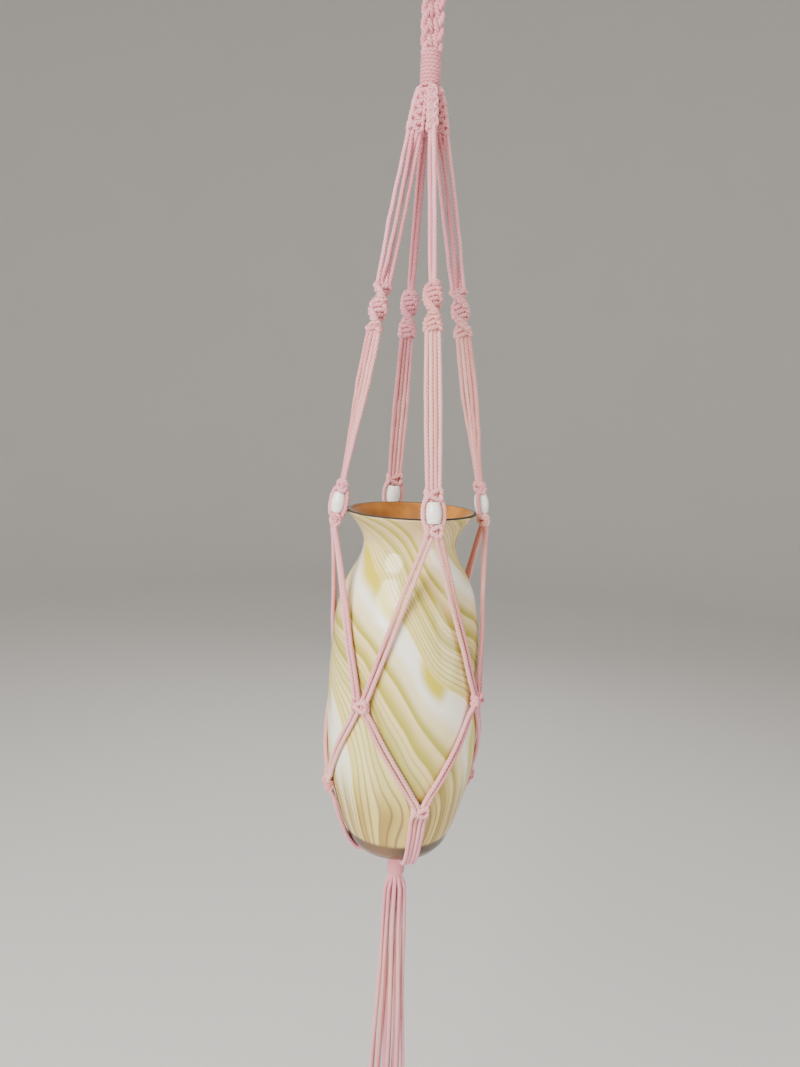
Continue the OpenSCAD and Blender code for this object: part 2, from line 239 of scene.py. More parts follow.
def ramp(tree, factor, stops):
    """Colour ramp through (position, colour) stops."""
    made = node(tree, "ShaderNodeValToRGB", {"Fac": factor})
    elements = made.color_ramp.elements
    while len(elements) < len(stops):
        elements.new(0.5)
    for element, (position, colour) in zip(elements, stops):
        element.position = position
        element.color = (*colour, 1)
    return made.outputs["Color"]


def mix_colour(tree, factor, a, b, blend="MIX"):
    made = node(tree, "ShaderNodeMix", data_type="RGBA", blend_type=blend)
    for index, value in ((0, factor), (6, a), (7, b)):
        if isinstance(value, bpy.types.NodeSocket):
            tree.links.new(value, made.inputs[index])
        elif index:
            made.inputs[index].default_value = (*value, 1)
        else:
            made.inputs[index].default_value = value
    return made.outputs[2]


def maths(tree, operation, *values, clamp=False):
    made = node(tree, "ShaderNodeMath", operation=operation, use_clamp=clamp)
    for index, value in enumerate(values):
        if isinstance(value, bpy.types.NodeSocket):
            tree.links.new(value, made.inputs[index])
        else:
            made.inputs[index].default_value = value
    return made.outputs[0]


def attribute(tree, name, output):
    return node(tree, "ShaderNodeAttribute", attribute_name=name).outputs[output]


def fade(tree, value, start, end):
    """0 below start, 1 above end and smooth between; the other way round when start is above end."""
    low, high = min(start, end), max(start, end)
    to = {"To Min": 0.0, "To Max": 1.0} if start < end else {"To Min": 1.0, "To Max": 0.0}
    made = node(tree, "ShaderNodeMapRange", {"Value": value, "From Min": low, "From Max": high, **to},
                interpolation_type="SMOOTHSTEP")
    return made.outputs[0]


def noise(tree, place, scale, detail):
    """Smooth noise, stretched by a scale for each axis."""
    stretched = node(tree, "ShaderNodeMapping", {"Vector": place, "Scale": scale}).outputs[0]
    return node(tree, "ShaderNodeTexNoise", {"Vector": stretched, "Scale": 1.0, "Detail": detail}).outputs[0]


def between(tree, value, *edges):
    """1 between the inner two of four edges, fading to 0 at the outer two."""
    return maths(tree, "MULTIPLY", fade(tree, value, *edges[:2]), fade(tree, value, *edges[:1:-1]))


def cotton(name, light, deep, mauve, fuzz):
    """Twisted cotton: fibres along the plies, painted shade in the grooves between them, a soft sheen."""
    material, tree, shader = new_material(name)
    along = attribute(tree, "fibre", "Vector")
    groove = attribute(tree, "groove", "Fac")
    tone = attribute(tree, "tone", "Fac")
    place = node(tree, "ShaderNodeTexCoord").outputs["Object"]
    fibres = noise(tree, along, (500, 5200, 5200), 3.0)
    patches = noise(tree, along, (60, 500, 500), 2.0)
    shade = maths(tree, "MULTIPLY_ADD", patches, 0.5, maths(tree, "MULTIPLY", tone, 0.55))
    shade = maths(tree, "MULTIPLY_ADD", fibres, 0.3, maths(tree, "SUBTRACT", shade, 0.15), clamp=True)
    body = ramp(tree, shade, [(0.1, deep), (0.75, light)])
    drift = node(tree, "ShaderNodeTexNoise", {"Vector": place, "Scale": 9.0, "Detail": 0.0}).outputs[0]
    body = mix_colour(tree, fade(tree, drift, 0.30, 0.56), body, mauve, "MULTIPLY")
    # Painted shade: the colour darkens towards the bottom of each groove between the plies
    groove_shade = maths(tree, "MULTIPLY", maths(tree, "POWER", groove, 2.0), 0.55)
    dark = tuple(channel * 0.42 for channel in deep)
    tree.links.new(mix_colour(tree, groove_shade, body, dark), shader.inputs["Base Color"])
    height = maths(tree, "MULTIPLY_ADD", patches, 0.6, fibres)
    bump = node(tree, "ShaderNodeBump", {"Height": height, "Strength": fuzz, "Distance": 0.25 * MM})
    tree.links.new(bump.outputs[0], shader.inputs["Normal"])
    shader.inputs["Roughness"].default_value = 0.88
    shader.inputs["Sheen Weight"].default_value = 0.35
    shader.inputs["Sheen Roughness"].default_value = 0.45
    shader.inputs["Specular IOR Level"].default_value = 0.25
    return material


def painted_wood():
    """White paint on turned wood: faint rings and a low gloss."""
    material, tree, shader = new_material("bead_paint")
    place = node(tree, "ShaderNodeTexCoord").outputs["Object"]
    grain = noise(tree, place, (250, 250, 1600), 4.0)
    cloud = node(tree, "ShaderNodeTexNoise", {"Vector": place, "Scale": 180.0, "Detail": 2.0}).outputs[0]
    mixed = maths(tree, "MULTIPLY_ADD", grain, 0.6, maths(tree, "MULTIPLY", cloud, 0.4))
    colour = ramp(tree, mixed, [(0.3, (0.80, 0.75, 0.66)), (0.6, (0.92, 0.89, 0.83))])
    tree.links.new(colour, shader.inputs["Base Color"])
    bump = node(tree, "ShaderNodeBump", {"Height": mixed, "Strength": 0.25, "Distance": 0.1 * MM})
    tree.links.new(bump.outputs[0], shader.inputs["Normal"])
    shader.inputs["Roughness"].default_value = 0.34
    shader.inputs["Coat Weight"].default_value = 0.25
    shader.inputs["Coat Roughness"].default_value = 0.2
    return material


# The vase's pattern repeats round it, and is swept aside by some repeats from lip to foot. One repeat
# runs from thin lines through feathers to a pale leaf and a swirl.
VASE_REPEATS = 4.0
VASE_SWEEP = -1.6
# Feathers to one repeat, and the thin lines' sine in radians to one repeat
FEATHERS = 7.0
THIN_LINE_RATE = 150.0
VASE_GROUND = [
    (0.0, (0.74, 0.60, 0.17)), (0.12, (0.82, 0.68, 0.27)), (0.5, (0.78, 0.59, 0.25)),
    (0.72, (0.84, 0.72, 0.40)), (0.82, (0.93, 0.90, 0.79)), (0.97, (0.92, 0.87, 0.68)),
]
LIP_CREAM = (0.76, 0.56, 0.29)
LIP_DARK = (0.03, 0.018, 0.01)
FOOT_YELLOW = (0.66, 0.51, 0.12)
FOOT_BROWN = [(0.35, (0.045, 0.028, 0.016)), (0.65, (0.20, 0.10, 0.045))]
SWIRL_YELLOW = (0.60, 0.49, 0.01)
FEATHER_OLIVE = (0.38, 0.34, 0.02)
FEATHER_BROWN = (0.36, 0.22, 0.04)
LINE_OLIVE = (0.30, 0.29, 0.11)
LINE_BROWN = (0.20, 0.11, 0.05)
AMBER = [(0.3, (0.29, 0.10, 0.012)), (0.7, (0.50, 0.20, 0.025))]


def vase_outside(tree, drop, broad, small):
    """Colour of the vase's outside: combed feathers, thin lines and swirls on cream."""
    swept = maths(tree, "MULTIPLY", maths(tree, "POWER", drop, 0.75), VASE_SWEEP)
    flow = maths(tree, "MULTIPLY_ADD", attribute(tree, "turn", "Fac"), VASE_REPEATS, swept)
    flow = maths(tree, "MULTIPLY_ADD", broad, 1.9, flow)
    flow = maths(tree, "MULTIPLY_ADD", small, 0.14, flow)
    band = maths(tree, "FRACT", flow)
    near_foot = fade(tree, drop, 0.66, 0.86)

    # Each feather is dark along one side and fades out across itself
    feather = maths(tree, "FRACT", maths(tree, "MULTIPLY", flow, FEATHERS))
    feather = between(tree, feather, 0.0, 0.10, 0.12, 0.9)
    where = maths(tree, "MAXIMUM", between(tree, band, 0.14, 0.26, 0.60, 0.74), near_foot)
    feather = maths(tree, "MULTIPLY", feather, where)
    thin = maths(tree, "SINE", maths(tree, "MULTIPLY", flow, THIN_LINE_RATE))
    thin = maths(tree, "POWER", maths(tree, "MULTIPLY_ADD", thin, 0.5, 0.5), 5.0)
    where = maths(tree, "MAXIMUM", between(tree, band, 0.0, 0.06, 0.34, 0.50), near_foot)
    thin = maths(tree, "MULTIPLY", thin, where)
    swirl = maths(tree, "MULTIPLY", fade(tree, band, 0.80, 0.93), fade(tree, small, 0.42, 0.58))
    swirl = maths(tree, "MULTIPLY", swirl, fade(tree, drop, 0.03, 0.12))

    colour = ramp(tree, band, VASE_GROUND)
    colour = mix_colour(tree, fade(tree, drop, 0.15, 0.02), colour, LIP_CREAM)
    colour = mix_colour(tree, maths(tree, "MULTIPLY", near_foot, 0.75), colour, FOOT_YELLOW)
    colour = mix_colour(tree, maths(tree, "MULTIPLY", swirl, 0.95), colour, SWIRL_YELLOW)
    feather_colour = mix_colour(tree, near_foot, FEATHER_OLIVE, FEATHER_BROWN)
    colour = mix_colour(tree, maths(tree, "MULTIPLY", feather, 0.9), colour, feather_colour)
    line_colour = mix_colour(tree, near_foot, LINE_OLIVE, LINE_BROWN)
    colour = mix_colour(tree, maths(tree, "MULTIPLY", thin, 0.8), colour, line_colour)
    return mix_colour(tree, fade(tree, drop, 0.93, 0.945), colour, ramp(tree, small, FOOT_BROWN))


def vase_glass():
    """Glossy cased glass: a feathered outside, a dark lip, an amber inside and a brown foot."""
    material, tree, shader = new_material("vase_glass")
    place = node(tree, "ShaderNodeTexCoord").outputs["Object"]
    zone = attribute(tree, "zone", "Fac")
    broad = noise(tree, place, (9, 9, 5), 0.0)
    small = noise(tree, place, (34, 34, 13), 1.0)
    outside = vase_outside(tree, attribute(tree, "drop", "Fac"), broad, small)
    inside = ramp(tree, noise(tree, place, (60, 60, 8), 3.0), AMBER)
    lipped = mix_colour(tree, fade(tree, zone, 0.10, 0.20), outside, LIP_DARK)
    colour = mix_colour(tree, fade(tree, zone, 0.62, 0.72), lipped, inside)
    tree.links.new(colour, shader.inputs["Base Color"])
    bump = node(tree, "ShaderNodeBump", {"Height": broad, "Strength": 0.1, "Distance": 0.4 * MM})
    tree.links.new(bump.outputs[0], shader.inputs["Normal"])
    rough = maths(tree, "MULTIPLY_ADD", fade(tree, zone, 0.02, 0.12), 0.4, 0.15)
    tree.links.new(rough, shader.inputs["Roughness"])
    return material


def plain(name, colour, roughness):
    material, tree, shader = new_material(name)
    place = node(tree, "ShaderNodeTexCoord").outputs["Object"]
    cloud = node(tree, "ShaderNodeTexNoise", {"Vector": place, "Scale": 3.0, "Detail": 3.0}).outputs[0]
    darker = tuple(channel * 0.97 for channel in colour)
    tree.links.new(mix_colour(tree, cloud, darker, colour), shader.inputs["Base Color"])
    shader.inputs["Roughness"].default_value = roughness
    return material


PINK_LIGHT = (0.89, 0.47, 0.43)
PINK_DEEP = (0.66, 0.25, 0.23)
# What the pinker stretches of cord are multiplied by
MAUVE = (0.96, 0.82, 1.04)
MATERIALS = {
    "cotton_cord": cotton("cotton_cord", PINK_LIGHT, PINK_DEEP, MAUVE, 0.5),
    "cotton_knot": cotton("cotton_knot", PINK_LIGHT, PINK_DEEP, MAUVE, 0.55),
    "cotton_loop": cotton("cotton_loop", PINK_LIGHT, PINK_DEEP, MAUVE, 0.55),
    "bead_white": painted_wood(),
    "vase_glass": vase_glass(),
}

# ---------------------------------------------------------------- cords

RING_STEP = 0.75 * MM
LAY = 7.5 * MM
PLIES = 3
PLY_SIDES = 5
SIDES = PLIES * PLY_SIDES
PLY_OFFSET = 0.33
PLY_R = 0.67


def smooth(points, step=RING_STEP):
    """Evenly spaced points on a smooth curve through the given ones."""
    p = np.asarray(points, float)
    t = np.concatenate([[0], np.cumsum(np.linalg.norm(np.diff(p, axis=0), axis=1))])
    slope = np.gradient(p, t, axis=0)
    fine = np.linspace(0, t[-1], max(4, int(t[-1] / step * 4)))
    i = np.clip(np.searchsorted(t, fine, side="right") - 1, 0, len(t) - 2)
    width = (t[i + 1] - t[i])[:, None]
    u = (fine - t[i])[:, None] / width
    curve = (p[i] * (1 + 2 * u) * (1 - u) ** 2 + slope[i] * width * u * (1 - u) ** 2
             + p[i + 1] * u * u * (3 - 2 * u) - slope[i + 1] * width * u * u * (1 - u))
    s = np.concatenate([[0], np.cumsum(np.linalg.norm(np.diff(curve, axis=0), axis=1))])
    even = np.linspace(0, s[-1], max(3, int(round(s[-1] / step)) + 1))
    return np.stack([np.interp(even, s, curve[:, axis]) for axis in range(3)], axis=1), even


def steady_frames(centre):
    """Two directions across a curve, at each of its points, that never spin about it."""
    along = np.gradient(centre, axis=0)
    along /= np.linalg.norm(along, axis=1)[:, None]
    across = np.empty_like(along)
    start = np.cross(along[0], (0.31, 0.87, 0.38))
    across[0] = start / np.linalg.norm(start)
    for i in range(1, len(along)):
        side = across[i - 1] - along[i] * (across[i - 1] @ along[i])
        across[i] = side / math.sqrt(side @ side)
    return across, np.cross(along, across)


def ply_section():
    """Radius of each side of a three-ply cord, as a share of the cord's, and how deep in a groove it is."""
    angle = np.radians(np.tile(np.arange(PLY_SIDES) * 120 / PLY_SIDES - 60, PLIES))
    radius = PLY_OFFSET * np.cos(angle) + np.sqrt(PLY_R ** 2 - (PLY_OFFSET * np.sin(angle)) ** 2)
    groove = (radius.max() - radius) / (radius.max() - radius.min())
    return radius, groove


SECTION_R, SECTION_GROOVE = ply_section()
SECTION_ANGLE = np.arange(SIDES) * 2 * math.pi / SIDES


def sweep(points, radius=CORD_R, lay=LAY):
    """One twisted cord along a path: its vertices and what its material reads there."""
    centre, s = smooth(points)
    across, beside = steady_frames(centre)
    count = len(centre)
    phase = RNG.uniform(0, 2 * math.pi)
    start = RNG.uniform(0, 9)
    tone = RNG.uniform(0, 1)
    angle = SECTION_ANGLE[None, :] - 2 * math.pi * s[:, None] / lay + phase
    size = SECTION_R[None, :] * np.broadcast_to(radius, (count,))[:, None]
    u, v = size * np.cos(angle), size * np.sin(angle)
    rings = centre[:, None] + u[..., None] * across[:, None] + v[..., None] * beside[:, None]
    fibre = np.stack([np.broadcast_to(s[:, None] + start, u.shape), u, v], axis=2)
    ends = np.array([centre[0], centre[-1]])
    end_fibre = np.array([[start, 0, 0], [s[-1] + start, 0, 0]])
    return {
        "points": np.vstack([rings.reshape(-1, 3), ends]),
        "fibre": np.vstack([fibre.reshape(-1, 3), end_fibre]),
        "groove": np.concatenate([np.tile(SECTION_GROOVE, count), [0.5, 0.5]]),
        "tone": np.full(count * SIDES + 2, tone),
        "rings": count,
    }


def cord_faces(rings, base):
    """Side quads and end triangles of one swept cord whose vertices start at base."""
    i, j = np.meshgrid(np.arange(rings - 1), np.arange(SIDES), indexing="ij")
    a = base + i * SIDES + j
    b = base + i * SIDES + (j + 1) % SIDES
    quads = np.stack([a, b, b + SIDES, a + SIDES], axis=2).reshape(-1, 4)
    j = np.arange(SIDES)
    k = (j + 1) % SIDES
    first_centre = base + rings * SIDES
    last_ring = base + (rings - 1) * SIDES
    caps = np.vstack([
        np.stack([np.full(SIDES, first_centre), base + k, base + j], axis=1),
        np.stack([np.full(SIDES, first_centre + 1), last_ring + j, last_ring + k], axis=1),
    ])
    return quads, caps


def link(name, mesh, slot):
    obj = bpy.data.objects.new(name, mesh)
    bpy.context.scene.collection.objects.link(obj)
    mesh.materials.append(MATERIALS[slot])
    return obj


def fill_mesh(mesh, points, quads, triangles):
    """Give a mesh its vertices, quads and triangles, shaded smooth."""
    mesh.vertices.add(len(points))
    mesh.vertices.foreach_set("co", points.ravel())
    corners = np.concatenate([quads.ravel(), triangles.ravel()]).astype(np.int32)
    sizes = np.concatenate([np.full(len(quads), 4), np.full(len(triangles), 3)])
    starts = np.concatenate([[0], np.cumsum(sizes)[:-1]]).astype(np.int32)
    mesh.loops.add(len(corners))
    mesh.loops.foreach_set("vertex_index", corners)
    mesh.polygons.add(len(sizes))
    mesh.polygons.foreach_set("loop_start", starts)
    mesh.polygons.foreach_set("use_smooth", np.ones(len(sizes), bool))
    mesh.update(calc_edges=True)
    mesh.validate()


def cord_object(name, cords, slot):
    """One object of several swept cords."""
    quads, caps, base = [], [], 0
    for cord in cords:
        q, c = cord_faces(cord["rings"], base)
        quads.append(q)
        caps.append(c)
        base += len(cord["points"])
    mesh = bpy.data.meshes.new(name)
    fill_mesh(mesh, np.vstack([c["points"] for c in cords]), np.vstack(quads), np.vstack(caps))
    for key, kind, field in (("fibre", "FLOAT_VECTOR", "vector"), ("groove", "FLOAT", "value"),
                             ("tone", "FLOAT", "value")):
        values = np.concatenate([c[key].ravel() for c in cords]).astype(np.float32)
        mesh.attributes.new(key, kind, "POINT").data.foreach_set(field, values)
    return link(name, mesh, slot)


def cord_piece(name, cords, slot, body, *nodes):
    """Cords that ride on one body and stand for CAD nodes."""
    obj = cord_object(name, cords, slot)
    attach(obj, body)
    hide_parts(*nodes)
    return obj


# ---------------------------------------------------------------- tassel

TASSEL_LENGTH = top("tassel_strands") - bottom("tassel_strands")
TASSEL_Z = top("tassel_strands")
TASSEL_RINGS = ((1, 0.0), (5, 3.15 * MM), (10, 6.3 * MM))
# How far down a strand is, as a share of its length, and how far the outer ring has spread
STRAND_ROUTE = ((0, 0), (0.1, 1 * MM), (0.3, 2.5 * MM), (0.6, 4.5 * MM), (1, 7.5 * MM))
TASSEL_TUCK = 2 * MM
TASSEL_SQUEEZE = 0.6
TASSEL_FLARE = 9 * MM


def strand_path(ring_r, azimuth, sway):
    """A tassel strand's route: held in the wrapping, then spread and gently waved."""
    shares = [share for share, spread in STRAND_ROUTE]
    spreads = [spread for share, spread in STRAND_ROUTE]
    down = np.concatenate([[-TASSEL_TUCK, 0, 4 * MM, TASSEL_FLARE], np.linspace(16 * MM, TASSEL_LENGTH, 16)])
    share = np.clip(down / TASSEL_LENGTH, 0, 1)
    spread = np.interp(share, shares, spreads) * ring_r / TASSEL_RINGS[-1][1]
    held = np.interp(down, (0, TASSEL_FLARE), (TASSEL_SQUEEZE, 1))
    wave = np.sin(share * 9 + sway) * np.clip(share * 6, 0, 1) * 0.5 * MM
    side = np.cos(share * 7 + 2 * sway) * np.clip(share * 6, 0, 1) * 0.5 * MM
    local = np.stack([side, -(ring_r + spread) * held + wave, TASSEL_Z - down], axis=1)
    return moved(local, turn_z(azimuth))


def make_tassel():
    number = 0
    for count, ring_r in TASSEL_RINGS:
        for k in range(1, count + 1):
            number += 1
            path = strand_path(ring_r, 360 * (k - 0.5) / count, RNG.uniform(0, 6))
            obj = cord_piece(
                f"tassel_strand_{number:02d}", [sweep(path)], "cotton_cord", "tassel", "tassel_strands"
            )


# ---------------------------------------------------------------- knots

# A working cord's route through one half knot, from left to right over the front: shares of the
# knot's reach, depth and height. The other working cord's route is this one turned half round.
HALF_KNOT = np.array([
    (-0.80, 0.00, 0.00), (-0.90, 1.00, -0.38), (-1.00, 0.05, -0.80), (-0.62, -0.80, -0.84),
    (0.00, -1.05, -0.52), (0.62, -0.80, -0.20), (0.94, 0.00, -0.16), (0.88, 1.00, -0.58),
])
KNOT_END = np.array([(0.80, 0.00, -1.00)])
# In a square knot a cord stays on its side from one half knot to the next, this share of the depth
# behind the fillers
SQUARE_JOIN = 0.85


def working_cords(count, height, reach, depth, start=0.0, turn=0.0, square=True):
    """Routes of both working cords through a column of half knots.

    Square knots alternate their hand. Spiral ones don't, and each is turned a little further.
    reach is one value or one for each half knot.
    """
    reach = np.broadcast_to(reach, (count,))
    routes = []
    for begin in (0, 180):
        route = []
        for k in range(count):
            half = np.vstack([HALF_KNOT, KNOT_END]) if k == count - 1 else HALF_KNOT.copy()
            if square and k:
                half[0, 1] = SQUARE_JOIN
            half = half * (reach[k], depth, height) - (0, 0, k * height)
            if square and k % 2:
                half[:, 0] *= -1
            spin = start + begin + turn * k + (0 if square else 180 * k)
            route.append(moved(half, turn_z(spin)))
        routes.append(np.vstack(route))
    return routes


def filler_cords(length, x, start=0.0, end=0.0, over=1.0 * MM, steps=8):
    """Routes of the two cords inside a column of knots, turned from start to end degrees."""
    routes = []
    for side in (-1, 1):
        down = np.linspace(-over, length + over, steps)
        angle = np.radians(np.interp(down, (0, length), (start, end)))
        routes.append(np.stack([side * x * np.cos(angle), side * x * np.sin(angle), -down], axis=1))
    return routes


def knot_piece(name, place, height, body):
    """A square knot whose centre is at place, for the CAD node of the same name."""
    raised = place @ np.array(Matrix.Translation((0, 0, height / 2)))
    routes = working_cords(2, height / 2, KNOT_REACH, KNOT_DEPTH)
    routes += filler_cords(height, PAIR_X)
    cords = [sweep(moved(route, raised), KNOT_CORD_R) for route in routes]
    return cord_piece(name, cords, "cotton_knot", body, name)


# ---------------------------------------------------------------- hanging loop

LOOP_D = 8 * MM
LOOP_TOP = top("loop_crown") - LOOP_D / 2
WRAP_TOP = top("top_wrap")
PLAIT_STRAND_R = 1.95 * MM
# How far a strand swings across the plait and out of its plane
PLAIT_WEAVE = (2.25 * MM, 1.25 * MM)
PLAIT_LENGTH = 27 * MM


def loop_route():
    """Middle of the loop's rope: up the right leg, over the crown and down the left leg."""
    low, high = box("loop_crown")
    arc_r = (high[0] - low[0] - LOOP_D) / 2
    arc_z = LOOP_TOP - arc_r
    arc = [(math.cos(a), math.sin(a)) for a in np.linspace(-0.22, math.pi + 0.22, 15)]
    crown = [(x * arc_r, 0, arc_z + z * arc_r) for x, z in arc]
    leg_x, leg_z = 3.9 * MM, bottom("loop_legs") + 31.4 * MM
    end_x, end_z = 2.9 * MM, WRAP_TOP - 5 * MM
    start_x, start_z = crown[0][0], crown[0][2]
    right = [(start_x + (leg_x - start_x) * u, 0, start_z + (leg_z - start_z) * u) for u in (0.9, 0.6, 0.3)]
    right = [(end_x, 0, end_z), (3.6 * MM, 0, (leg_z + end_z) / 2), (leg_x + 0.2 * MM, 0, leg_z)] + right
    left = [(-x, y, z) for x, y, z in reversed(right)]
    return right + crown + left


def plait(route, strand_r, weave, length):
    """A flat plait of three strands that follows a route in the XZ plane."""
    centre, s = smooth(route)
    along = np.gradient(centre, axis=0)
    along /= np.linalg.norm(along, axis=1)[:, None]
    front = np.array([0.0, -1.0, 0.0])
    across = np.cross(along, front)
    cords = []
    for k in range(3):
        wind = 2 * math.pi * (s / length + k / 3)
        beside = weave[0] * np.sin(wind)
        forward = weave[1] * np.sin(2 * wind)
        path = centre + across * beside[:, None] + front * forward[:, None]
        cords.append(sweep(path[::3], strand_r))
    return cords


def make_loop():
    cords = plait(loop_route(), PLAIT_STRAND_R, PLAIT_WEAVE, PLAIT_LENGTH)
    obj = cord_object("hanging_loop", cords, "cotton_loop")
    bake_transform(obj)
    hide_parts("loop_crown", "loop_legs")


# ---------------------------------------------------------------- wrappings

TOP_WRAP_CORD_R = 1.25 * MM
TOP_WRAP_TURNS = 10
TOP_WRAP_BARREL = 0.1 * MM
BOTTOM_WRAP_CORD_R = 0.95 * MM
BOTTOM_WRAP_TURNS = 14
BOTTOM_WRAP_BARREL = 0.4 * MM
BOTTOM_WRAP_LAY = 5 * MM


def wrapping(radius, start_z, end_z, turns, barrel):
    """Route of a cord wound down round the planter's axis, tucked in at both ends."""
    share = np.linspace(0, 1, turns * 14 + 1)
    angle = share * turns * 2 * math.pi
    r = radius + barrel * np.sin(math.pi * share)
    tuck = np.clip(1 - np.minimum(share, 1 - share) * turns / 0.3, 0, 1)
    r = r - 1.6 * MM * tuck
    return np.stack([r * np.cos(angle), r * np.sin(angle), start_z + (end_z - start_z) * share], axis=1)


def make_wraps():
    top_r = (box("top_wrap")[1][0] - box("top_wrap")[0][0]) / 2
    cord_r = TOP_WRAP_CORD_R
    end_z = bottom("top_wrap") + SENNIT_TUCK + cord_r
    route = wrapping(top_r - cord_r, WRAP_TOP - cord_r, end_z, TOP_WRAP_TURNS, TOP_WRAP_BARREL)
    cord_piece("top_wrap", [sweep(route, cord_r)], "cotton_knot", "top_wrap", "top_wrap")
    low_r = (box("bottom_wrap")[1][0] - box("bottom_wrap")[0][0]) / 2
    cord_r = BOTTOM_WRAP_CORD_R
    start = joint_at("tassel_sway_front")[2] + 3.2 * MM
    route = wrapping(low_r - cord_r - 0.1 * MM, start, bottom("bottom_wrap") + cord_r, BOTTOM_WRAP_TURNS,
                     BOTTOM_WRAP_BARREL)
    cord_piece("bottom_wrap", [sweep(route, cord_r, BOTTOM_WRAP_LAY)], "cotton_knot", "bottom_wrap",
               "bottom_wrap")


# ---------------------------------------------------------------- arms

SENNIT_HALF_KNOTS = 8
SENNIT_R = 5.3 * MM
SENNIT_TUCK = 2.4 * MM
SENNIT_CORD_R = 1.62 * MM
SENNIT_DEPTH = 1.7 * MM
# A sennit widens downwards: the reach of its half knots at these counts from the top
SENNIT_REACH = ((0, 2, 7), (2.4 * MM, 3.5 * MM, 4.5 * MM))
# Its four cords gather inside the wrapping: how far each is from the planter's axis and beside it, in mm
SENNIT_GATHER = ((4.2, -1.0), (1.4, 0.6), (4.0, 1.6), (2.6, -0.4))
SPIRAL_HALF_KNOTS = 10
SPIRAL_REACH = 5.1 * MM
SPIRAL_DEPTH = 1.85 * MM
SPIRAL_CORD_R = 1.62 * MM
SPIRAL_CORE_X = 1.1 * MM
# The sideways bow of a ribbon's outer cords, and the degrees that its inner pair turns
UPPER_BOW = 0.5 * MM
UPPER_PAIR_TURN = 80
LOWER_BOW = 0.7 * MM
# Degrees that each arm's spiral turns through
SPIRAL_TURN = {1: 270, 2: 350, 3: 285, 4: 320}
# Degrees that the cords round each bead have turned about the arm
BEAD_CORD_TURN = {1: 0, 2: -38, 3: 0, 4: 38}


def crown_sennit(n):
    """Column of square knots on edge, whose cords come out of the wrapping above it."""
    name = f"crown_sennit_{n}"
    start_z = bottom("top_wrap") + SENNIT_TUCK
    length = start_z - ROOT_Z
    lean = -math.atan2(ROOT_R - SENNIT_R, length)
    place = station(90 * (n - 1), SENNIT_R, start_z, lean) @ turn_z(90)
    reach = np.interp(np.arange(SENNIT_HALF_KNOTS), *SENNIT_REACH)
    routes = working_cords(SENNIT_HALF_KNOTS, length / SENNIT_HALF_KNOTS, reach, SENNIT_DEPTH)
    routes += filler_cords(length, PAIR_X, over=2 * MM)
    cords = []
    for route, (away, beside) in zip(routes, SENNIT_GATHER):
        above = [(SENNIT_R - away * MM, beside * MM, z * MM) for z in (9, 4)]
        cords.append(sweep(moved(np.vstack([above, route[1:]]), place), SENNIT_CORD_R))
    return cord_piece(name, cords, "cotton_knot", "hanger", name)


def ribbon(begin, end, start_angle, end_angle, bow, pair_turn=0.0, over=2 * MM):
    """Routes of an arm's four plain cords between two knots, as a flat band that may turn.

    Between the knots the outer two bow out, and the inner pair turns up to pair_turn degrees further.
    """
    routes = []
    length = end - begin
    for lane in (-2, -1, 1, 2):
        down = np.concatenate([[-over], np.linspace(0, length, 13), [length + over]])
        share = np.clip(down / length, 0, 1)
        turn_share = share * share * (3 - 2 * share)
        angle = np.radians(start_angle + (end_angle - start_angle) * turn_share)
        outer = abs(lane) == 2
        away = OUTER_X + bow * np.sin(math.pi * share) if outer else PAIR_X + 0.1 * MM
        if not outer:
            angle = angle + math.radians(pair_turn) * np.sqrt(np.sin(math.pi * share))
        x = math.copysign(1, lane) * away
        wobble = RNG.normal(0, 0.18 * MM, len(down)) * np.sin(math.pi * share)
        local = np.stack([x * np.cos(angle), x * np.sin(angle) + wobble, -begin - down], axis=1)
        routes.append(local)
    return routes


def make_arm(n):
    place = arm_frame(n)
    body = f"arm_{n}"
    radial = 90
    upper = ribbon(UPPER[0], UPPER[1], radial, radial, UPPER_BOW, UPPER_PAIR_TURN, 2.5 * MM)
    cord_piece(f"upper_cords_{n}", [sweep(moved(r, place)) for r in upper], "cotton_cord", body,
               f"upper_cords_{n}")
    spiral_length = SPIRAL[1] - SPIRAL[0]
    height = spiral_length / SPIRAL_HALF_KNOTS
    turn = SPIRAL_TURN[n] / SPIRAL_HALF_KNOTS
    at_spiral = place @ np.array(Matrix.Translation((0, 0, -SPIRAL[0])))
    first_angle = radial + turn / 2
    routes = working_cords(SPIRAL_HALF_KNOTS, height, SPIRAL_REACH, SPIRAL_DEPTH, first_angle, turn, False)
    routes += filler_cords(spiral_length, SPIRAL_CORE_X, radial, radial + SPIRAL_TURN[n])
    cord_piece(f"spiral_knot_{n}", [sweep(moved(r, at_spiral), SPIRAL_CORD_R) for r in routes],
               "cotton_knot", body, f"spiral_knot_{n}")
    end_turn = (radial + SPIRAL_TURN[n] + 90) % 180 - 90
    lower = ribbon(LOWER[0], LOWER[1], end_turn, 0, LOWER_BOW)
    cord_piece(f"lower_cords_{n}", [sweep(moved(r, place)) for r in lower], "cotton_cord", body,
               f"lower_cords_{n}")
    for row, name in ((BEAD_KNOT_UPPER, "bead_knot_upper"), (BEAD_KNOT_LOWER, "bead_knot_lower")):
        centre = place @ np.array(Matrix.Translation((0, 0, -(row[0] + row[1]) / 2)))
        knot_piece(f"{name}_{n}", centre, row[1] - row[0], body)
    bead_cords(n, place)
    make_bead(n, place)


BORE_CORD_X = 1.55 * MM
BEAD_CORD_R = CORD_R * 0.97


